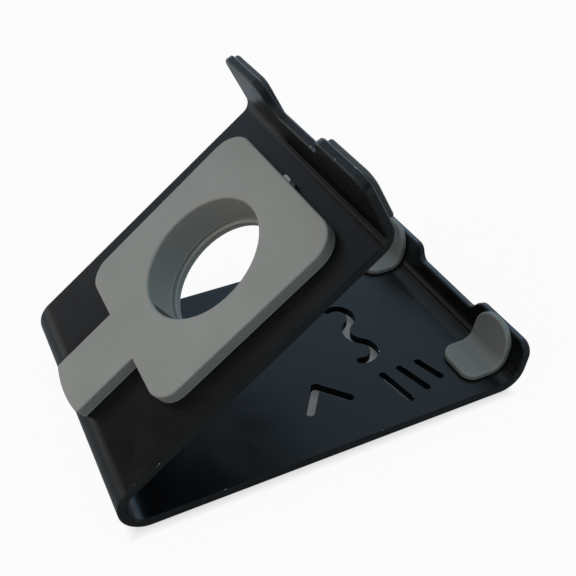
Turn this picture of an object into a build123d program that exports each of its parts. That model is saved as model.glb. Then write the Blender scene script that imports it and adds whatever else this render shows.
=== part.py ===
"""Phone and watch charging stand: one folded steel sheet with moulded silicone pieces on it.

Side view, from the back to the front: a flat base plate runs forward to a short front lip,
folds round at the back into a sloping rear panel, and ends at the top in an upright lip.
Each lip has two ears with a lower edge between them. A watch charging puck sits in the
silicone holder on the rear panel, and a phone stands in the front corner and leans back on
the ears of the upper lip.

Frame: millimetres, +Z up, X from the fold to the front lip, Y across the stand. The origin is
on the surface that the stand rests on, at the middle of the outline.
"""
from build123d import *
from math import cos, radians, sin
import os

os.makedirs("parts", exist_ok=True)

# Folded sheet
stand_width = 62.2
sheet_t = 2.0
fold_inner_r = 4.3
rear_slope = 37.0
rear_length = 64.6
base_length = 82.2
edge_break = 0.32
smooth_angle = 20.0

# Upper lip: its ears, the drop to its low middle edge, and the ramps between them
top_bend_r = 2.8
top_bend_turn = 79.5
top_ear_h = 12.3
top_drop = 5.8
top_gap_half = 11.2
top_ramp_angle = 60.0
top_ramp_r = 4.0

# Front lip
front_bend_r = 4.3
front_bend_turn = 78.0
front_ear_h = 6.3
front_drop = 3.1
front_gap_half = 12.1
front_ramp_angle = 55.0
front_ramp_r = 2.8
ear_corner_r = 3.2

# Thin layer of adhesive between the sheet and each silicone piece
film = 0.15

# Watch holder: a pad on the rear panel, a sleeve through the panel, and a tail down to the fold
puck_r = 14.25
pad_t = 2.85
pad_top_gap = 3.6
pad_above_bore = 9.25
pad_below_bore = 9.4
pad_beside_bore = 9.1
pad_flare = 0.8
pad_low_corner_r = 5.5
pad_top_corner_r = 6.4
mouth_round = 0.6
sleeve_wall = 1.1
sleeve_clearance = 0.3
sleeve_depth = 5.2
undercut_h = 0.8
undercut = 0.35
ledge_h = 1.5
ledge_w = 0.55
cable_y = -1.6
cable_slot_w = 5.2
cable_slot_depth = 1.2
cable_slot_roof = 0.9
tail_width = 15.4
tail_side_reach = 2.1
tail_tip_reach = 3.05
tail_corner_r = 0.9
soft_edge_r = 0.5
lug_y = -0.5
lug_width = 2.6
lug_length = 0.7
lug_h = 2.0

# Pads on the ears of the upper lip
ear_pad_t = 0.9
ear_pad_foot = 1.5
ear_pad_margin = 0.6
ear_pad_inner_y = 13.6
ear_pad_corner_r = 3.0
ear_pad_inner_r = 2.2
ear_pad_edge_cut = 0.25

# Pads in the front corners, stuck on by hand and not quite level with each other
corner_pad_t = 1.2
corner_pad_width = 11.9
corner_pad_margin_left = 1.7
corner_pad_margin_right = 4.2
corner_pad_floor = 6.2
corner_pad_rise = 1.0
corner_floor_inner_r = 4.0
corner_floor_outer_r = 3.0
corner_top_r = 5.2
corner_edge_cut = 0.32

# Four round feet under the base
foot_r = 4.0
foot_t = 1.5
foot_edge_cut = 0.5
foot_inset_front = 4.3
foot_inset_back = 6.0
foot_inset_y = 9.0

# Cut-outs in the base, from the outside of the fold and the middle, drawn for this width of stand
drawn_width = 62.2
cut_w = 2.0
chevron_x = 51.0
chevron_y = -12.8
chevron_arm = 8.2
chevron_turns = (-50.0, -125.0)
stroke_w = 1.7
strokes = ((66.4, -15.3, 11.0, -79.5), (71.0, -15.0, 10.0, -74.0), (75.8, -15.0, 8.3, -71.5))
wave_x = 66.4
wave_tilt = -4.0
wave_crest_y = 6.5
wave_crest_r = 3.5
wave_dip_x = 4.1
wave_tail_turn = 110.0

# Places worked out from the sizes above
fold_r = fold_inner_r + sheet_t
front_outer_r = front_bend_r + sheet_t
front_ear_out = front_outer_r * sin(radians(front_bend_turn)) + front_ear_h * cos(radians(front_bend_turn))
reach = fold_r + base_length + front_ear_out
tail_out = (
    (fold_r + film + pad_t - soft_edge_r) * sin(radians(rear_slope))
    + (tail_tip_reach - soft_edge_r) * cos(radians(rear_slope))
    + soft_edge_r
    - fold_r
)
fold_x = -(reach - tail_out) / 2
base_z = film + foot_t
half_width = stand_width / 2
cut_scale = stand_width / drawn_width
puck_station = rear_length - pad_top_gap - pad_above_bore - puck_r
pad_start = puck_station - puck_r - pad_below_bore
pad_end = puck_station + puck_r + pad_above_bore
pad_low_half = puck_r + pad_beside_bore
pad_top_half = pad_low_half + pad_flare
sleeve_reach = sleeve_depth + undercut_h + ledge_h
upright_slope = rear_slope + top_bend_turn


def step(start, angle, distance):
    """Point at a distance from start in the side view, in the direction of an angle."""
    return (start[0] + distance * cos(radians(angle)), start[1] + distance * sin(radians(angle)))


def side_plane(point, angle, across):
    """Plane on a face of the sheet: local x runs across the stand, local y along the angle."""
    up = Vector(cos(radians(angle)), 0, sin(radians(angle)))
    x_dir = Vector(0, across, 0)
    return Plane(origin=(point[0], 0, point[1]), x_dir=x_dir, z_dir=x_dir.cross(up))


fold_centre = (fold_x + fold_r, base_z + fold_r)
rear_start = step(fold_centre, rear_slope + 90, fold_r)
rear_end = step(rear_start, rear_slope, rear_length)
top_centre = step(rear_end, rear_slope + 90, top_bend_r)
front_centre = (fold_centre[0] + base_length, base_z + front_outer_r)

# Faces of the sheet that the other pieces sit on
rear_face = side_plane(rear_start, rear_slope, -1)
top_face = side_plane(step(top_centre, upright_slope - 90, top_bend_r + sheet_t), upright_slope, 1)
front_face = side_plane(step(front_centre, front_bend_turn - 90, front_bend_r), front_bend_turn, -1)
base_top = Plane.XY.offset(base_z + sheet_t)


def lip_waste(ear_h, drop, gap_half, ramp_angle, ramp_r):
    """What is cut off a straight-topped lip to leave its ears, in the lip's own plane."""
    low_h = ear_h - drop
    ramp_half = drop / 2 * cos(radians(ramp_angle)) / sin(radians(ramp_angle))
    with BuildSketch() as waste:
        Rectangle(2 * stand_width, 2 * ear_h, align=(Align.CENTER, Align.MIN))
        with BuildLine():
            FilletPolyline(
                (-half_width, 0),
                (-half_width, ear_h),
                (-gap_half - ramp_half, ear_h),
                (-gap_half + ramp_half, low_h),
                (gap_half - ramp_half, low_h),
                (gap_half + ramp_half, ear_h),
                (half_width, ear_h),
                (half_width, 0),
                radius=[ear_corner_r, ramp_r, ramp_r, ramp_r, ramp_r, ear_corner_r],
            )
            Line((half_width, 0), (-half_width, 0))
        make_face(mode=Mode.SUBTRACT)
    return waste.sketch


def sharp_edges(solid):
    """Edges where two faces of the solid meet at a real corner, without the smooth joins."""
    found = []
    for edge in solid.edges():
        sides = [f for f in solid.faces() if any(e.is_same(edge) for e in f.edges())]
        if len(sides) == 2:
            middle = edge @ 0.5
            if sides[0].normal_at(middle).get_angle(sides[1].normal_at(middle)) > smooth_angle:
                found.append(edge)
    return ShapeList(found)


# The sheet: its outer line in side view, made one sheet thick, then trimmed to its lips
with BuildPart() as bent_stand:
    with BuildSketch(Plane.XZ):
        with BuildLine():
            base_line = Line((front_centre[0], base_z), (fold_centre[0], base_z))
            fold_arc = JernArc(base_line @ 1, base_line % 1, fold_r, rear_slope - 180)
            rear_line = PolarLine(fold_arc @ 1, rear_length, direction=fold_arc % 1)
            top_arc = JernArc(rear_line @ 1, rear_line % 1, top_bend_r, top_bend_turn)
            PolarLine(top_arc @ 1, top_ear_h, direction=top_arc % 1)
            front_arc = JernArc(base_line @ 0, (1, 0), front_outer_r, front_bend_turn)
            PolarLine(front_arc @ 1, front_ear_h, direction=front_arc % 1)
            offset(amount=sheet_t, side=Side.RIGHT)
        make_face()
    extrude(amount=half_width, both=True)

    with BuildSketch(top_face):
        add(lip_waste(top_ear_h, top_drop, top_gap_half, top_ramp_angle, top_ramp_r))
    extrude(amount=1.5 * sheet_t, both=True, mode=Mode.SUBTRACT)
    with BuildSketch(front_face):
        add(lip_waste(front_ear_h, front_drop, front_gap_half, front_ramp_angle, front_ramp_r))
    extrude(amount=1.5 * sheet_t, both=True, mode=Mode.SUBTRACT)
    chamfer(sharp_edges(bent_stand.part), edge_break)

    # Hole for the sleeve of the watch holder
    with BuildSketch(rear_face):
        with Locations((0, puck_station)):
            Circle(puck_r + sleeve_wall + sleeve_clearance)
    extrude(amount=1.5 * sheet_t, both=True, mode=Mode.SUBTRACT)

    # Cut-outs in the base: an arrowhead, three strokes and a wave
    with BuildSketch(base_top):
        for turn in chevron_turns:
            with Locations(Location((fold_x + chevron_x, cut_scale * chevron_y), turn)):
                with Locations((cut_scale * chevron_arm / 2, 0)):
                    SlotCenterToCenter(cut_scale * chevron_arm, cut_w)
        for stroke_x, stroke_y, stroke_length, turn in strokes:
            with Locations(Location((fold_x + stroke_x, cut_scale * stroke_y), turn)):
                with Locations((cut_scale * stroke_length / 2, 0)):
                    SlotOverall(cut_scale * stroke_length, stroke_w)
        with Locations(Location((fold_x + wave_x, 0), wave_tilt)):
            crest_y = cut_scale * wave_crest_y
            crest_r = cut_scale * wave_crest_r
            dip_x = cut_scale * wave_dip_x
            dip_slope = Vector(dip_x, -crest_y, 0)
            dip_angle = Vector(1, 0, 0).get_angle(dip_slope)
            crest_sweep = dip_angle + wave_tail_turn
            for bow in (
                CenterArc((0, crest_y), crest_r, -dip_angle, crest_sweep),
                CenterArc((dip_x, 0), dip_slope.length - crest_r, 180 - dip_angle, 2 * dip_angle),
                CenterArc((0, -crest_y), crest_r, -wave_tail_turn, crest_sweep),
            ):
                SlotArc(bow, cut_w)
    extrude(amount=-sheet_t, mode=Mode.SUBTRACT)

bent_stand.part.label = "bent_stand"
export_step(bent_stand.part, "parts/bent_stand.step")


# The watch holder: the pad with its tail, the lug, the sleeve and the bore
with BuildPart() as watch_pad:
    with BuildSketch(rear_face.offset(film)) as pad_outline:
        with BuildLine():
            FilletPolyline(
                (pad_low_half, pad_start),
                (pad_top_half, pad_end),
                (-pad_top_half, pad_end),
                (-pad_low_half, pad_start),
                radius=[pad_low_corner_r, pad_top_corner_r, pad_top_corner_r, pad_low_corner_r],
                close=True,
            )
        make_face()
        with BuildLine():
            tail_side = (tail_width / 2, -tail_side_reach)
            far_side = (-tail_width / 2, -tail_side_reach)
            ThreePointArc(far_side, (0, -tail_tip_reach), tail_side)
            Polyline(
                tail_side,
                (tail_width / 2, puck_station - puck_r),
                (-tail_width / 2, puck_station - puck_r),
                far_side,
            )
        make_face()
        fillet(pad_outline.vertices().group_by(Axis.Y)[0], tail_corner_r)
    extrude(amount=pad_t)
    fillet(
        [
            e
            for e in sharp_edges(watch_pad.part)
            if rear_face.to_local_coords(e @ 0.5).Z > film + 0.6 * pad_t
        ],
        soft_edge_r,
    )

    with BuildSketch(rear_face.offset(film)):
        with Locations((-lug_y, pad_end)):
            RectangleRounded(lug_width, 2 * lug_length, 0.9 * lug_length)
    extrude(amount=lug_h)
    with BuildSketch(rear_face.offset(film)):
        with Locations((0, puck_station)):
            Circle(puck_r + sleeve_wall)
    extrude(amount=-(film + sleeve_reach))

    # Bore for the charging puck, with an undercut and a ledge that holds the puck's rim
    with BuildSketch(rear_face.offset(film + pad_t)):
        with Locations((0, puck_station)):
            Circle(puck_r)
    extrude(amount=-(film + pad_t + sleeve_depth), mode=Mode.SUBTRACT)
    with BuildSketch(rear_face.offset(-sleeve_depth)):
        with Locations((0, puck_station)):
            Circle(puck_r + undercut)
    extrude(amount=-undercut_h, mode=Mode.SUBTRACT)
    with BuildSketch(rear_face.offset(-sleeve_depth - undercut_h)):
        with Locations((0, puck_station)):
            Circle(puck_r - ledge_w)
    extrude(amount=-ledge_h, mode=Mode.SUBTRACT)
    mouth = watch_pad.edges().filter_by(GeomType.CIRCLE)
    mouth = [e for e in mouth if rear_face.to_local_coords(e @ 0.5).Z > film + pad_t - 0.01]
    fillet([e for e in mouth if abs(e.radius - puck_r) < 0.01], mouth_round)

    # Slot in the sleeve for the puck's cable, closed over by the face of the pad
    with BuildSketch(rear_face.offset(film + pad_t - cable_slot_roof)):
        with Locations((-cable_y, puck_station - puck_r)):
            Rectangle(cable_slot_w, 2 * (sleeve_wall + cable_slot_depth))
    extrude(amount=-(film + pad_t + sleeve_reach), mode=Mode.SUBTRACT)

watch_pad.part.label = "watch_pad"
export_step(watch_pad.part, "parts/watch_pad.step")


def written(solid, name):
    """The solid with its label on, written to its file."""
    solid.label = name
    export_step(solid, "parts/" + name + ".step")
    return solid


def mirrored(solid, name):
    """The same piece on the other side of the stand, labelled and written out."""
    return written(mirror(solid, about=Plane.XZ), name)


# Pads on the phone side of the two upper ears
with BuildPart() as ear_pad_left:
    with BuildSketch(top_face.offset(film)):
        with BuildLine():
            ear_pad_top = top_ear_h - ear_pad_margin
            ear_pad_outer_y = half_width - ear_pad_margin
            FilletPolyline(
                (ear_pad_inner_y, ear_pad_foot),
                (ear_pad_inner_y, ear_pad_top),
                (ear_pad_outer_y, ear_pad_top),
                (ear_pad_outer_y, ear_pad_foot),
                radius=[ear_pad_inner_r, ear_pad_corner_r],
            )
            Line((ear_pad_outer_y, ear_pad_foot), (ear_pad_inner_y, ear_pad_foot))
        make_face()
    extrude(amount=ear_pad_t)
    outer_side = top_face.offset(film + ear_pad_t)
    ear_pad_rim = [e for e in ear_pad_left.edges() if outer_side.to_local_coords(e @ 0.5).Z > -0.01]
    chamfer(ear_pad_rim, ear_pad_edge_cut)
ear_pad_left.part.label = "ear_pad_left"
export_step(ear_pad_left.part, "parts/ear_pad_left.step")
ear_pad_right = mirrored(ear_pad_left.part, "ear_pad_right")


# Pads in the two front corners: along the floor, round the bend and up the lip
with BuildPart() as corner_pad_left:
    with BuildSketch(Plane.XZ.offset(-(half_width - corner_pad_margin_left))):
        with BuildLine():
            floor_line = Line(
                (front_centre[0] - corner_pad_floor, base_z + sheet_t + film),
                (front_centre[0], base_z + sheet_t + film),
            )
            bend_arc = JernArc(floor_line @ 1, floor_line % 1, front_bend_r - film, front_bend_turn)
            PolarLine(bend_arc @ 1, front_ear_h + corner_pad_rise, direction=bend_arc % 1)
            offset(amount=corner_pad_t, side=Side.LEFT)
        make_face()
    extrude(amount=corner_pad_width)
    floor_corners = corner_pad_left.edges().filter_by(Axis.Z)
    inner_corner = floor_corners.group_by(Axis.Y)[0]
    outer_corner = floor_corners.group_by(Axis.Y)[-1]
    fillet(inner_corner, corner_floor_inner_r)
    fillet(outer_corner, corner_floor_outer_r)
    top_corners = [
        e
        for e in corner_pad_left.edges().filter_by(GeomType.LINE)
        if front_face.to_local_coords(e @ 0.5).Y > front_ear_h + corner_pad_rise - 0.01
        and abs((e % 0.5).Y) < 0.5
    ]
    fillet(top_corners, corner_top_r)
    seen_edges = []
    for edge in sharp_edges(corner_pad_left.part):
        spot = edge @ 0.5
        lift = spot.Z - base_z - sheet_t - film
        if spot.X > front_centre[0]:
            lift = front_bend_r - film - (Vector(front_centre[0], spot.Y, front_centre[1]) - spot).length
        if front_face.to_local_coords(spot).Y > 0:
            lift = front_face.to_local_coords(spot).Z - film
        if lift > corner_pad_t / 2:
            seen_edges.append(edge)
    chamfer(seen_edges, corner_edge_cut)
corner_pad_left.part.label = "corner_pad_left"
export_step(corner_pad_left.part, "parts/corner_pad_left.step")
corner_pad_shift = Location((0, corner_pad_margin_left - corner_pad_margin_right, 0))
corner_pad_right = mirrored(corner_pad_left.part.moved(corner_pad_shift), "corner_pad_right")


# Feet under the four corners of the base
with BuildPart() as front_foot_left:
    with BuildSketch(Plane.XY.offset(base_z - film)):
        with Locations((front_centre[0] - foot_inset_front, half_width - foot_inset_y)):
            Circle(foot_r)
    extrude(amount=-foot_t)
    chamfer(front_foot_left.edges().group_by(Axis.Z)[0], foot_edge_cut)
front_foot_left.part.label = "front_foot_left"
export_step(front_foot_left.part, "parts/front_foot_left.step")
front_foot_right = mirrored(front_foot_left.part, "front_foot_right")
foot_spacing = base_length - foot_inset_front - foot_inset_back
back_foot_left = written(front_foot_left.part.moved(Location((-foot_spacing, 0, 0))), "back_foot_left")
back_foot_right = mirrored(back_foot_left, "back_foot_right")

stand = Compound(
    children=[
        bent_stand.part,
        watch_pad.part,
        ear_pad_left.part,
        ear_pad_right,
        corner_pad_left.part,
        corner_pad_right,
        front_foot_left.part,
        front_foot_right,
        back_foot_left,
        back_foot_right,
    ]
)
box = stand.bounding_box()
print("overall", round(box.size.X, 2), round(box.size.Y, 2), round(box.size.Z, 2))
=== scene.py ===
"""Looks for the phone and watch charging stand: coated steel, grey silicone and a pale studio.

It is laid out as an add-on and run as a script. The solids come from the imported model, in
metres, and keep their shape and place: each one is dressed with a procedural finish here.
"""

from math import cos, pi, radians, sin

import bpy
from bpy.props import FloatProperty, FloatVectorProperty, PointerProperty
from mathutils import Matrix, Vector


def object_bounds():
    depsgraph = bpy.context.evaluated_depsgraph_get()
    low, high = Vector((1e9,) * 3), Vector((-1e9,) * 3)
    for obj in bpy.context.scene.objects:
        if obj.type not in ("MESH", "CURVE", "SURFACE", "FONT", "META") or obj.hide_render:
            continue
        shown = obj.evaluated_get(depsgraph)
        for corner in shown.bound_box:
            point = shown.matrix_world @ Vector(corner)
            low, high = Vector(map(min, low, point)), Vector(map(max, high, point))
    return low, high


bl_info = {
    "name": "Charging Stand Looks",
    "version": (1, 0, 0),
    "blender": (4, 5, 0),
    "location": "View3D > Sidebar > Stand",
    "description": "Finishes, light and camera for a folded phone and watch charging stand",
    "category": "Object",
}

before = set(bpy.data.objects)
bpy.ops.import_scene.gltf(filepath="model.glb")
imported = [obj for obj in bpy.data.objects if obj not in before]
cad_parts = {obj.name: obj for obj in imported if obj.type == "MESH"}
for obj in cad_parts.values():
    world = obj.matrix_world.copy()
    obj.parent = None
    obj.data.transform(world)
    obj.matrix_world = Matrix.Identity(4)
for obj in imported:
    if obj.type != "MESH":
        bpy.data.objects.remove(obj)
cad_low, cad_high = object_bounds()

# Sizes are in metres. Where a name holds two numbers and its comment says nothing else, they are
# the two ends of a range in which something comes in.

# Directions: the front lip is at the front, the camera stands on the near side
FRONT = (1.0, 0.0, 0.0)
BACK = (-1.0, 0.0, 0.0)
FAR_SIDE = (0.0, 1.0, 0.0)
UP = (0.0, 0.0, 1.0)

# The sloping panel: its slope, and a spot where its outer face leaves the fold
PANEL_SLOPE = radians(37.0)
PANEL_START = (-0.04471, 0.0, 0.01298)

# The two lines that the press left across the panel, on the first part of its upper bend: how far
# up the panel they are, half their width, the share of it that is at full depth, how squarely a
# face has to lie to the panel to show them, and their depth
PRESS_LINES = (0.0660, 0.0665)
PRESS_HALF = 0.00022
PRESS_CORE = 0.3
PRESS_FACING = (0.60, 0.70)
PRESS_DEPTH = 0.00006

# Edges, worn on the coat and painted paler as a highlight on the silicone: how far in from a
# corner of a solid they reach, and the rays that look for it
EDGE_REACH = 0.0006
EDGE_RAYS = 8

# Powder coat: its index of refraction, its dark, light and worn shades as shares of its colour,
# how far its roughness strays from the setting, the grit as a share of the grain, the colour of
# the dust, and the level of noise at which it chips with no wear, and how far full wear lowers it
COAT_IOR = 1.34
COAT_SHADES = (0.75, 1.3, 2.2)
COAT_STRAY = (-0.03, 0.06)
COAT_GRIT = 0.28
COAT_DUST = (0.10, 0.10, 0.10)
COAT_CHIPS = (0.80, 0.83)
COAT_WEAR = 0.4

# Silicone: its index of refraction, its dark, light, cloudy, edge and pit shades as shares of its
# colour, where the edge shade is a painted highlight, how far its roughness strays from the
# setting, the colour of the lint and dust, and the way in which each batch's texture is moved
SILICONE_IOR = 1.41
SILICONE_SHADES = (0.95, 1.05, 1.10, 1.6, 0.70)
SILICONE_STRAY = (-0.05, 0.07)
SILICONE_DUST = (0.48, 0.48, 0.46)
BATCH_SHIFT = (1.0, 0.37, 0.61)

# Batches of silicone: how far the texture is moved, and the lightness beside the watch holder's
BATCHES = {
    "holder_silicone": (0.0, 1.0),
    "ear_silicone": (0.52, 0.16),
    # The corner pads are a darker copy of the same silicone: painted shade.
    "corner_silicone_painted_shade": (0.31, 0.70),
    "foot_silicone": (0.74, 0.92),
}

# The floor and backdrop: radius of the flat part, its inner rings, radius and steps of the curve
# up to the wall, height of the wall, sides of each ring, and how far the floor is under the feet
FLOOR_R = 1.2
FLOOR_RINGS = (0.05, 0.2)
COVE_R = 0.15
COVE_STEPS = 8
WALL_H = 0.24
FLOOR_SIDES = 96
FLOOR_DROP = 0.00005

# The floor's paint: it is darker near the stand, as a painted shadow, and reflections don't see it
# white there either.
# Under the base, given by its half length and half width, it is much less white in the picture,
# with a soft border.
NEAR_FLOOR = (0.10, 0.34)
NEAR_PAINTED_SHADOW = 0.6
BASE_HALF = (0.042, 0.028)
BASE_BORDER = 0.004
UNDER_BASE = 0.08

# The room, by how far a direction leans up, to the back or to the far side: the window is at the
# front on the far side and ends above, a dim part is at the back, the walls are dimmer than the
# ceiling, and the back on the far side is warmer
WINDOW_SIDE = (0.8, 0.6, 0.0)
WINDOW_SPREAD = (-0.1, 0.9)
WINDOW_TOP = (0.35, 0.85)
DIM_BACK = (0.47, 0.72)
DIM_FAR = (-0.6, 0.2)
DIM_LEVEL = 0.08
CEILING = (0.55, 0.95)
WALL_LEVEL = 0.38
WARM_BACK = (0.05, 0.45)
WARM_FAR = (0.2, 0.6)

# Tints of the light: a warm lamp, a cool room with a warmer back wall, and a cooler window
KEY_TINT = (1.0, 0.915, 0.84)
ROOM_TINT = (0.80, 1.0, 1.12)
BACK_TINT = (1.06, 1.0, 0.95)
WINDOW_TINT = (0.62, 0.98, 1.44)

# The lamp: where it stands, and the side of its square
KEY_PLACE = (-0.48, -0.07, 0.33)
KEY_SIZE = 0.35

# The camera: its sensor in millimetres, the shift that frames the photograph, and its near and
# far limits
SENSOR = 36.0
CAMERA_SHIFT = (0.00509, -0.07335)
CAMERA_LIMITS = (0.005, 20.0)


# Settings that a user would change


class SheetFinish(bpy.types.PropertyGroup):
    """Finish of the folded sheet."""

    coat: FloatVectorProperty(
        name="Coat colour",
        description="Colour of the powder coat",
        subtype="COLOR",
        default=(0.0014, 0.00145, 0.0016),
        min=0.0,
        max=1.0,
    )
    coat_roughness: FloatProperty(
        name="Coat roughness",
        description="How matt the powder coat is",
        subtype="FACTOR",
        default=0.29,
        min=0.05,
        max=1.0,
    )
    grain: FloatProperty(
        name="Coat grain",
        description="Size of the orange peel in the coat",
        subtype="DISTANCE",
        unit="LENGTH",
        default=0.0008,
        min=0.0001,
        max=0.01,
    )
    steel: FloatVectorProperty(
        name="Bare steel",
        description="Colour of the steel where the coat has chipped off",
        subtype="COLOR",
        default=(0.56, 0.55, 0.53),
        min=0.0,
        max=1.0,
    )
    wear: FloatProperty(
        name="Edge wear",
        description="How much of the sheet's edges has lost its coat",
        subtype="FACTOR",
        default=0.30,
        min=0.0,
        max=1.0,
    )


class SiliconeFinish(bpy.types.PropertyGroup):
    """Finish of the moulded silicone pieces."""

    body: FloatVectorProperty(
        name="Silicone colour",
        description="Colour of the silicone",
        subtype="COLOR",
        default=(0.229, 0.224, 0.203),
        min=0.0,
        max=1.0,
    )
    roughness: FloatProperty(
        name="Silicone roughness",
        description="How matt the silicone is",
        subtype="FACTOR",
        default=0.62,
        min=0.05,
        max=1.0,
    )
    grain: FloatProperty(
        name="Silicone grain",
        description="Size of the fine texture left by the mould",
        subtype="DISTANCE",
        unit="LENGTH",
        default=0.00035,
        min=0.0001,
        max=0.01,
    )
    dust: FloatProperty(
        name="Dust",
        description="How much lint and dust lies on the silicone",
        subtype="FACTOR",
        default=0.5,
        min=0.0,
        max=1.0,
    )


class StageSettings(bpy.types.PropertyGroup):
    """Floor, light and camera."""

    floor: FloatVectorProperty(
        name="Floor colour",
        description="Colour of the floor and backdrop",
        subtype="COLOR",
        default=(0.62, 0.625, 0.63),
        min=0.0,
        max=1.0,
    )
    floor_white: FloatProperty(
        name="Floor whiteness",
        description="How far the floor and backdrop turn white in the picture",
        subtype="FACTOR",
        default=0.95,
        min=0.0,
        max=1.0,
    )
    key_power: FloatProperty(
        name="Key light",
        description="Power of the soft lamp on the side of the sloping panel",
        subtype="POWER",
        unit="POWER",
        default=1.63,
        min=0.0,
    )
    room: FloatProperty(
        name="Room light",
        description="Strength of the light from the ceiling, which the walls follow",
        default=0.92,
        min=0.0,
    )
    window: FloatProperty(
        name="Window light",
        description="Strength of the cool light from the front and the far side",
        default=0.85,
        min=0.0,
    )
    camera_place: FloatVectorProperty(
        name="Camera place",
        description="Where the camera stands",
        subtype="TRANSLATION",
        unit="LENGTH",
        default=(-0.06515, -0.14281, 0.1442),
    )
    camera_right: FloatVectorProperty(
        name="Camera right",
        description="Direction to the right of the picture",
        subtype="DIRECTION",
        default=(0.90121, -0.43333, -0.00729),
    )
    camera_forward: FloatVectorProperty(
        name="Camera forward",
        description="Direction into the picture",
        subtype="DIRECTION",
        default=(0.35236, 0.74241, -0.56980),
    )
    focal_share: FloatProperty(
        name="Focal length",
        description="Focal length as a share of the picture's width",
        default=1.5528,
        min=0.1,
    )


# Node helpers


def emptied(owner, output):
    """The node tree of a material or a world, emptied, and its new output."""
    owner.use_nodes = True
    tree = owner.node_tree
    tree.nodes.clear()
    return tree, tree.nodes.new(output)


def new_material(name):
    """A node material with its shader, and nothing else in it yet."""
    material = bpy.data.materials.new(name)
    tree, output = emptied(material, "ShaderNodeOutputMaterial")
    shader = tree.nodes.new("ShaderNodeBsdfPrincipled")
    tree.links.new(shader.outputs["BSDF"], output.inputs["Surface"])
    return material, tree, shader


def put(tree, socket, value):
    """Links another socket to this one, or sets this one to a value."""
    if isinstance(value, bpy.types.NodeSocket):
        tree.links.new(value, socket)
    else:
        socket.default_value = value


def node(tree, kind, **links):
    """A node of a kind, with values or links put on its named inputs."""
    made = tree.nodes.new("ShaderNode" + kind)
    for name, value in links.items():
        put(tree, made.inputs[name.replace("_", " ")], value)
    return made


def position(tree):
    """Place on the stand, in metres."""
    return node(tree, "TexCoord").outputs["Object"]


def noise(tree, place, feature, detail, roughness, distortion=0.0):
    """Noise whose features have the given size."""
    made = node(
        tree,
        "TexNoise",
        Vector=place,
        Scale=1.0 / feature,
        Detail=detail,
        Roughness=roughness,
        Distortion=distortion,
    )
    return made.outputs["Fac"]


def remap(tree, value, given, wanted=(0.0, 1.0)):
    """The value moved from the given range to the wanted one, and clamped to it."""
    made = tree.nodes.new("ShaderNodeMapRange")
    made.clamp = True
    for name, number in zip(("From Min", "From Max", "To Min", "To Max"), (*given, *wanted)):
        made.inputs[name].default_value = number
    tree.links.new(value, made.inputs["Value"])
    return made.outputs["Result"]


def combine(tree, operation, *values):
    """Values and numbers put together by one operation."""
    made = tree.nodes.new("ShaderNodeMath")
    made.operation = operation
    for socket, value in zip(made.inputs, values):
        put(tree, socket, value)
    return made.outputs["Value"]


def combine_vectors(tree, operation, *values):
    """The node that puts vectors together by one operation."""
    made = tree.nodes.new("ShaderNodeVectorMath")
    made.operation = operation
    for socket, value in zip(made.inputs, values):
        put(tree, socket, value)
    return made


def along(tree, place, direction, start=(0.0, 0.0, 0.0)):
    """Distance of a place from a start, measured along a direction."""
    offset = combine_vectors(tree, "SUBTRACT", place, start).outputs["Vector"]
    return combine_vectors(tree, "DOT_PRODUCT", offset, direction).outputs["Value"]


def blend_colour(tree, factor, first, second):
    """A colour between two colours."""
    made = tree.nodes.new("ShaderNodeMix")
    made.data_type = "RGBA"
    tree.links.new(factor, made.inputs["Factor"])
    for name, value in (("A", first), ("B", second)):
        socket = next(s for s in made.inputs if s.name == name and s.type == "RGBA")
        put(tree, socket, value if isinstance(value, bpy.types.NodeSocket) else (*value, 1.0))
    return next(s for s in made.outputs if s.type == "RGBA")


def edges(tree, given):
    """How near a spot is to a corner of the solid, from 0 to 1."""
    rounded = tree.nodes.new("ShaderNodeBevel")
    rounded.samples = EDGE_RAYS
    rounded.inputs["Radius"].default_value = EDGE_REACH
    surface = tree.nodes.new("ShaderNodeNewGeometry")
    normals = rounded.outputs["Normal"], surface.outputs["Normal"]
    flat = combine_vectors(tree, "DOT_PRODUCT", *normals).outputs["Value"]
    return remap(tree, combine(tree, "SUBTRACT", 1.0, flat), given)


def specks(tree, place, spacing, size, share, smallest=0.35):
    """Round specks of up to a size, in a share of the cells of a scatter."""
    cells = tree.nodes.new("ShaderNodeTexVoronoi")
    cells.inputs["Scale"].default_value = 1.0 / spacing
    tree.links.new(place, cells.inputs["Vector"])
    parts = node(tree, "SeparateColor", Color=cells.outputs["Color"])
    chosen = combine(tree, "LESS_THAN", parts.outputs["Red"], share)
    sizes = (smallest * size / spacing, size / spacing)
    reach = remap(tree, parts.outputs["Green"], (0.0, 1.0), sizes)
    inside = combine(tree, "LESS_THAN", cells.outputs["Distance"], reach)
    return combine(tree, "MULTIPLY", chosen, inside)


def streaks(tree, place, turn, per_metre, roughness, bend, given):
    """Thin streaks, turned and drawn out one way, where their noise is in the given range."""
    drawn = node(tree, "Mapping", Vector=place, Rotation=turn, Scale=per_metre)
    made = node(
        tree,
        "TexNoise",
        Vector=drawn.outputs["Vector"],
        Scale=1.0,
        Detail=1.0,
        Roughness=roughness,
        Distortion=bend,
    )
    return remap(tree, made.outputs["Fac"], given)


def bump(tree, height, depth, normal=None):
    """Normal with the height as a relief of the given depth, on top of another normal."""
    made = tree.nodes.new("ShaderNodeBump")
    made.inputs["Distance"].default_value = depth
    tree.links.new(height, made.inputs["Height"])
    if normal is not None:
        tree.links.new(normal, made.inputs["Normal"])
    return made.outputs["Normal"]


def dent(tree, mask, depth, normal):
    """Normal with the masked spots sunk by a depth."""
    return bump(tree, combine(tree, "MULTIPLY", mask, -1.0), depth, normal)


def shade(colour, factor):
    """The colour made lighter or darker."""
    return tuple(min(1.0, c * factor) for c in colour)


def cover(tree, under, mask, colour, strength):
    """The colour laid over another at a strength, where the mask is."""
    return blend_colour(tree, combine(tree, "MULTIPLY", mask, strength), under, colour)


def roughen(tree, rough, mask, by):
    """The roughness raised or lowered where the mask is."""
    return combine(tree, "MULTIPLY_ADD", mask, by, rough)


# Finishes


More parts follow.
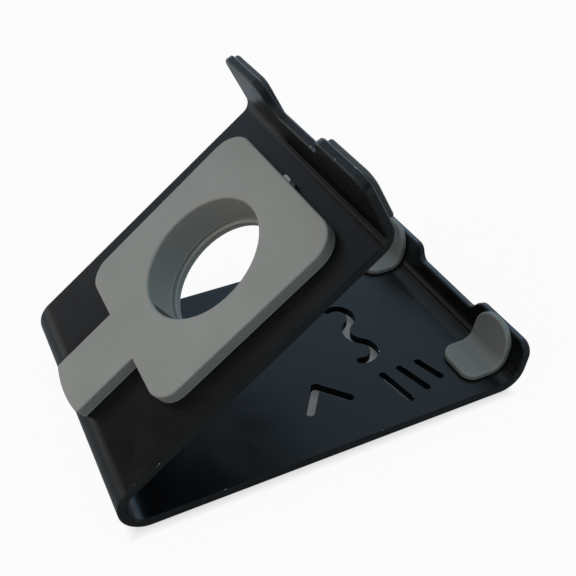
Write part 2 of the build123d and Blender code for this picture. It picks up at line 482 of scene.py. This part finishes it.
def press_marks(tree, place):
    """Two fine lines that the press left across the panel, on the first part of its upper bend."""
    slope = Vector((cos(PANEL_SLOPE), 0.0, sin(PANEL_SLOPE)))
    station = along(tree, place, slope, PANEL_START)
    lines = None
    for where in PRESS_LINES:
        away = combine(tree, "ABSOLUTE", combine(tree, "SUBTRACT", station, where))
        line = remap(tree, away, (PRESS_CORE * PRESS_HALF, PRESS_HALF), (1.0, 0.0))
        lines = line if lines is None else combine(tree, "MAXIMUM", lines, line)
    surface = tree.nodes.new("ShaderNodeNewGeometry")
    square = (-sin(PANEL_SLOPE), 0.0, cos(PANEL_SLOPE))
    outward = along(tree, surface.outputs["Normal"], square)
    return combine(tree, "MULTIPLY", lines, remap(tree, outward, PRESS_FACING))


def powder_coat(finish):
    """Black powder coat on steel: orange peel, mottling, handling marks, dust and chipped edges."""
    material, tree, shader = new_material("powder_coat")
    shader.inputs["IOR"].default_value = COAT_IOR
    place = position(tree)
    mottle = noise(tree, place, feature=0.018, detail=4.0, roughness=0.6)
    cloud = noise(tree, place, feature=0.0035, detail=3.0, roughness=0.55)
    peel = noise(tree, place, feature=finish.grain, detail=2.0, roughness=0.5)
    grit = noise(tree, place, feature=COAT_GRIT * finish.grain, detail=2.0, roughness=0.6)

    dark, light, worn = (shade(finish.coat, factor) for factor in COAT_SHADES)
    coat = blend_colour(tree, remap(tree, mottle, given=(0.3, 0.7)), dark, light)
    clouded = remap(tree, cloud, given=(0.55, 0.75), wanted=(0.0, 0.35))
    coat = blend_colour(tree, clouded, coat, worn)
    dust = specks(tree, place, spacing=0.0042, size=0.00016, share=0.30)
    coat = cover(tree, coat, dust, COAT_DUST, strength=0.5)

    corner = edges(tree, given=(0.004, 0.05))
    flakes = noise(tree, place, feature=0.0016, detail=3.0, roughness=0.65)
    chip = remap(tree, flakes, [level - COAT_WEAR * finish.wear for level in COAT_CHIPS])
    bare = combine(tree, "MULTIPLY", remap(tree, corner, given=(0.4, 0.7)), chip)
    patchy = remap(tree, cloud, given=(0.35, 0.65), wanted=(0.25, 0.9))
    rubbed = combine(tree, "MULTIPLY", corner, patchy)
    coat = cover(tree, coat, rubbed, worn, strength=0.5)
    coat = blend_colour(tree, bare, coat, finish.steel)
    tree.links.new(coat, shader.inputs["Base Color"])
    tree.links.new(bare, shader.inputs["Metallic"])

    scratch = streaks(
        tree,
        place,
        turn=(0.2, 0.35, 0.6),
        per_metre=(60.0, 1100.0, 900.0),
        roughness=0.4,
        bend=0.0,
        given=(0.74, 0.80),
    )
    smudge = noise(tree, place, feature=0.011, detail=2.0, roughness=0.5, distortion=1.2)
    strays = [finish.coat_roughness + step for step in COAT_STRAY]
    rough = remap(tree, smudge, given=(0.35, 0.7), wanted=strays)
    rough = roughen(tree, rough, scratch, by=0.10)
    rough = roughen(tree, rough, rubbed, by=-0.06)
    tree.links.new(rough, shader.inputs["Roughness"])

    press = press_marks(tree, place)
    relief = bump(tree, peel, depth=0.000016)
    relief = bump(tree, grit, depth=0.000003, normal=relief)
    relief = dent(tree, press, depth=PRESS_DEPTH, normal=relief)
    relief = dent(tree, bare, depth=0.00004, normal=relief)
    tree.links.new(relief, shader.inputs["Normal"])
    return material


def moulded_silicone(finish, name):
    """Grey silicone: a matt mould texture, slight mottling, a painted highlight on its edges, which
    are smoother, and lint.
    """
    shift, tone = BATCHES[name]
    dark, light, cloudy, painted_highlight, pitted = (
        shade(finish.body, factor * tone) for factor in SILICONE_SHADES
    )
    material, tree, shader = new_material(name)
    shader.inputs["IOR"].default_value = SILICONE_IOR
    moved = tuple(part * shift for part in BATCH_SHIFT)
    place = node(tree, "Mapping", Vector=position(tree), Location=moved).outputs["Vector"]
    mottle = noise(tree, place, feature=0.013, detail=4.0, roughness=0.55)
    cloud = noise(tree, place, feature=0.0028, detail=3.0, roughness=0.5)
    fine = noise(tree, place, feature=finish.grain, detail=2.0, roughness=0.6)

    colour = blend_colour(tree, remap(tree, mottle, given=(0.3, 0.7)), dark, light)
    clouded = remap(tree, cloud, given=(0.5, 0.8), wanted=(0.0, 0.25))
    colour = blend_colour(tree, clouded, colour, cloudy)
    corner = edges(tree, given=(0.006, 0.06))
    # The edges are painted paler: a painted highlight along the rims.
    colour = cover(tree, colour, corner, painted_highlight, strength=0.85)
    pits = remap(tree, fine, given=(0.68, 0.76), wanted=(0.0, 0.20))
    colour = blend_colour(tree, pits, colour, pitted)
    lint = streaks(
        tree,
        place,
        turn=(0.5, 0.2, 0.9),
        per_metre=(170.0, 1500.0, 1500.0),
        roughness=0.3,
        bend=1.5,
        given=(0.78, 0.82),
    )
    dust = specks(tree, place, spacing=0.0034, size=0.00014, share=0.35)
    dust = combine(tree, "MAXIMUM", lint, dust)
    colour = cover(tree, colour, dust, SILICONE_DUST, strength=0.45 * finish.dust)
    tree.links.new(colour, shader.inputs["Base Color"])

    strays = [finish.roughness + step for step in SILICONE_STRAY]
    rough = remap(tree, cloud, given=(0.3, 0.7), wanted=strays)
    rough = roughen(tree, rough, corner, by=-0.20)
    tree.links.new(rough, shader.inputs["Roughness"])
    relief = bump(tree, fine, depth=0.000010)
    relief = bump(tree, cloud, depth=0.000020, normal=relief)
    tree.links.new(relief, shader.inputs["Normal"])
    return material


def dress(material, *nodes):
    """Gives the solids their finish."""
    for name in nodes:
        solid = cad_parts[name]
        solid.data.materials.clear()
        solid.data.materials.append(material)


# Stage


def floor_mesh():
    """A round floor that curves up into a low backdrop on every side."""
    turns = [pi / 2 * i / COVE_STEPS for i in range(COVE_STEPS + 1)]
    cove = [(FLOOR_R + COVE_R * sin(turn), COVE_R * (1 - cos(turn))) for turn in turns]
    inner = [(radius, 0.0) for radius in FLOOR_RINGS]
    profile = [*inner, *cove, (FLOOR_R + COVE_R, WALL_H)]
    points = [(0.0, 0.0, 0.0)]
    for radius, height in profile:
        for i in range(FLOOR_SIDES):
            turn = 2 * pi * i / FLOOR_SIDES
            points.append((radius * cos(turn), radius * sin(turn), height))
    faces = [(0, 1 + i, 1 + (i + 1) % FLOOR_SIDES) for i in range(FLOOR_SIDES)]
    for ring in range(len(profile) - 1):
        low = 1 + ring * FLOOR_SIDES
        high = low + FLOOR_SIDES
        for i in range(FLOOR_SIDES):
            after = (i + 1) % FLOOR_SIDES
            faces.append((low + i, high + i, high + after, low + after))
    mesh = bpy.data.meshes.new("floor")
    mesh.from_pydata(points, [], faces)
    for face in mesh.polygons:
        face.use_smooth = True
    return mesh


def pale_floor(stage):
    """Pale paint that the picture shows nearly white, with the stand's shadow on it and a painted
    shadow darkening it near the stand.
    """
    material = bpy.data.materials.new("pale_floor")
    tree, output = emptied(material, "ShaderNodeOutputMaterial")
    place = position(tree)
    reach = combine_vectors(tree, "LENGTH", place).outputs["Value"]
    away = remap(tree, reach, NEAR_FLOOR)
    # Painted shadow: the paint is darker near the stand.
    colour = blend_colour(tree, away, shade(stage.floor, NEAR_PAINTED_SHADOW), stage.floor)
    paint = node(tree, "BsdfDiffuse", Color=colour)
    glow = node(tree, "Emission", Color=(1.0, 1.0, 1.0, 1.0), Strength=1.0)

    beyond = []
    for axis, half in zip((FRONT, FAR_SIDE), BASE_HALF):
        off = combine(tree, "ABSOLUTE", along(tree, place, axis))
        beyond.append(remap(tree, off, (half - BASE_BORDER, half + BASE_BORDER)))
    white = remap(tree, combine(tree, "MAXIMUM", *beyond), (0.0, 1.0), (UNDER_BASE, 1.0))
    white = combine(tree, "MULTIPLY", white, stage.floor_white)

    path = tree.nodes.new("ShaderNodeLightPath").outputs
    mirrored = combine(tree, "MULTIPLY", path["Is Glossy Ray"], away)
    seen = combine(tree, "MAXIMUM", path["Is Camera Ray"], path["Is Transmission Ray"])
    seen = combine(tree, "MAXIMUM", seen, mirrored)
    mix = tree.nodes.new("ShaderNodeMixShader")
    tree.links.new(combine(tree, "MULTIPLY", seen, white), mix.inputs["Fac"])
    tree.links.new(paint.outputs["BSDF"], mix.inputs[1])
    tree.links.new(glow.outputs["Emission"], mix.inputs[2])
    tree.links.new(mix.outputs["Shader"], output.inputs["Surface"])
    return material


def light_room(world, stage):
    """A room with a bright ceiling, dimmer walls and a cool window on one side."""
    tree, output = emptied(world, "ShaderNodeOutputWorld")
    toward = node(tree, "TexCoord").outputs["Generated"]
    up = along(tree, toward, UP)
    back = along(tree, toward, BACK)
    far = along(tree, toward, FAR_SIDE)

    side = remap(tree, along(tree, toward, WINDOW_SIDE), WINDOW_SPREAD)
    cool = combine(tree, "MULTIPLY", remap(tree, up, WINDOW_TOP, (1.0, 0.0)), side)
    cool = combine(tree, "MULTIPLY", cool, stage.window)

    dim = combine(tree, "MULTIPLY", remap(tree, back, DIM_BACK), remap(tree, far, DIM_FAR))
    dim = remap(tree, dim, (0.0, 1.0), (1.0, DIM_LEVEL))
    height = remap(tree, up, CEILING, (WALL_LEVEL, 1.0))
    level = combine(tree, "MULTIPLY", combine(tree, "MULTIPLY", dim, height), stage.room)
    warm = combine(tree, "MULTIPLY", remap(tree, back, WARM_BACK), remap(tree, far, WARM_FAR))
    tint = blend_colour(tree, warm, ROOM_TINT, BACK_TINT)

    room = node(tree, "Background", Color=tint, Strength=level)
    window = node(tree, "Background", Color=(*WINDOW_TINT, 1.0), Strength=cool)
    both = tree.nodes.new("ShaderNodeAddShader")
    tree.links.new(room.outputs["Background"], both.inputs[0])
    tree.links.new(window.outputs["Background"], both.inputs[1])
    tree.links.new(both.outputs["Shader"], output.inputs["Surface"])


# Operators


class STAND_OT_sheet(bpy.types.Operator):
    """Dress the folded sheet in powder coat"""

    bl_idname = "stand.sheet"
    bl_label = "Folded sheet"

    def execute(self, context):
        dress(powder_coat(context.scene.stand_sheet), "bent_stand")
        return {"FINISHED"}


class STAND_OT_watch_holder(bpy.types.Operator):
    """Dress the watch holder in silicone"""

    bl_idname = "stand.watch_holder"
    bl_label = "Watch holder"

    def execute(self, context):
        finish = context.scene.stand_silicone
        dress(moulded_silicone(finish, "holder_silicone"), "watch_pad")
        return {"FINISHED"}


class STAND_OT_phone_pads(bpy.types.Operator):
    """Dress the pads that hold the phone in silicone"""

    bl_idname = "stand.phone_pads"
    bl_label = "Phone pads"

    def execute(self, context):
        finish = context.scene.stand_silicone
        ears = moulded_silicone(finish, "ear_silicone")
        dress(ears, "ear_pad_left", "ear_pad_right")
        # The corner pads get the darker copy of the silicone: painted shade.
        corners = moulded_silicone(finish, "corner_silicone_painted_shade")
        dress(corners, "corner_pad_left", "corner_pad_right")
        return {"FINISHED"}


class STAND_OT_feet(bpy.types.Operator):
    """Dress the feet in silicone"""

    bl_idname = "stand.feet"
    bl_label = "Feet"

    def execute(self, context):
        feet = moulded_silicone(context.scene.stand_silicone, "foot_silicone")
        dress(feet, "front_foot_left", "front_foot_right", "back_foot_left", "back_foot_right")
        return {"FINISHED"}


class STAND_OT_stage(bpy.types.Operator):
    """Make the floor, the lights and the camera"""

    bl_idname = "stand.stage"
    bl_label = "Stage"

    def execute(self, context):
        stage = context.scene.stand_stage
        self.floor(context, stage)
        context.scene.world = context.scene.world or bpy.data.worlds.new("room")
        light_room(context.scene.world, stage)
        self.key_lamp(context, stage)
        self.camera(context, stage)
        context.scene.view_settings.view_transform = "Standard"
        return {"FINISHED"}

    def floor(self, context, stage):
        """The floor and backdrop, just under the feet."""
        floor = bpy.data.objects.new("floor", floor_mesh())
        context.scene.collection.objects.link(floor)
        floor.location.z = -FLOOR_DROP
        floor.data.materials.append(pale_floor(stage))

    def key_lamp(self, context, stage):
        """A soft square lamp on the side of the sloping panel, aimed at the stand's middle."""
        light = bpy.data.lights.new("key", "AREA")
        light.size = KEY_SIZE
        light.energy = stage.key_power
        light.color = KEY_TINT
        lamp = bpy.data.objects.new("key", light)
        context.scene.collection.objects.link(lamp)
        lamp.location = KEY_PLACE
        aim = (cad_low + cad_high) / 2 - Vector(KEY_PLACE)
        lamp.rotation_mode = "QUATERNION"
        lamp.rotation_quaternion = aim.to_track_quat("-Z", "Y")

    def camera(self, context, stage):
        """The camera, standing where the photograph was taken."""
        data = bpy.data.cameras.new("camera")
        camera = bpy.data.objects.new("camera", data)
        context.scene.collection.objects.link(camera)
        forward = Vector(stage.camera_forward).normalized()
        right = Vector(stage.camera_right).normalized()
        turn = Matrix((right, right.cross(forward), -forward)).transposed()
        camera.matrix_world = Matrix.Translation(stage.camera_place) @ turn.to_4x4()
        data.sensor_width = SENSOR
        data.lens = SENSOR * stage.focal_share
        data.shift_x, data.shift_y = CAMERA_SHIFT
        data.clip_start, data.clip_end = CAMERA_LIMITS
        context.scene.camera = camera


class STAND_PT_panel(bpy.types.Panel):
    """Lists the pieces of the stand and their settings"""

    bl_idname = "STAND_PT_panel"
    bl_label = "Charging stand"
    bl_space_type = "VIEW_3D"
    bl_region_type = "UI"
    bl_category = "Stand"

    def draw(self, context):
        layout = self.layout
        for operator in OPERATORS:
            layout.operator(operator.bl_idname)
        for group in ("stand_sheet", "stand_silicone", "stand_stage"):
            settings = getattr(context.scene, group)
            box = layout.box()
            for name in settings.__annotations__:
                box.prop(settings, name)


OPERATORS = (
    STAND_OT_sheet,
    STAND_OT_watch_holder,
    STAND_OT_phone_pads,
    STAND_OT_feet,
    STAND_OT_stage,
)
CLASSES = (SheetFinish, SiliconeFinish, StageSettings, *OPERATORS, STAND_PT_panel)


def register():
    """Registers the classes and hangs the settings on the scene."""
    for cls in CLASSES:
        bpy.utils.register_class(cls)
    bpy.types.Scene.stand_sheet = PointerProperty(type=SheetFinish)
    bpy.types.Scene.stand_silicone = PointerProperty(type=SiliconeFinish)
    bpy.types.Scene.stand_stage = PointerProperty(type=StageSettings)


def unregister():
    """Takes the settings and the classes away again."""
    del bpy.types.Scene.stand_sheet
    del bpy.types.Scene.stand_silicone
    del bpy.types.Scene.stand_stage
    for cls in reversed(CLASSES):
        bpy.utils.unregister_class(cls)


def main():
    """Makes every piece in order."""
    register()
    bpy.ops.stand.sheet()
    bpy.ops.stand.watch_holder()
    bpy.ops.stand.phone_pads()
    bpy.ops.stand.feet()
    bpy.ops.stand.stage()


if __name__ == "__main__":
    main()
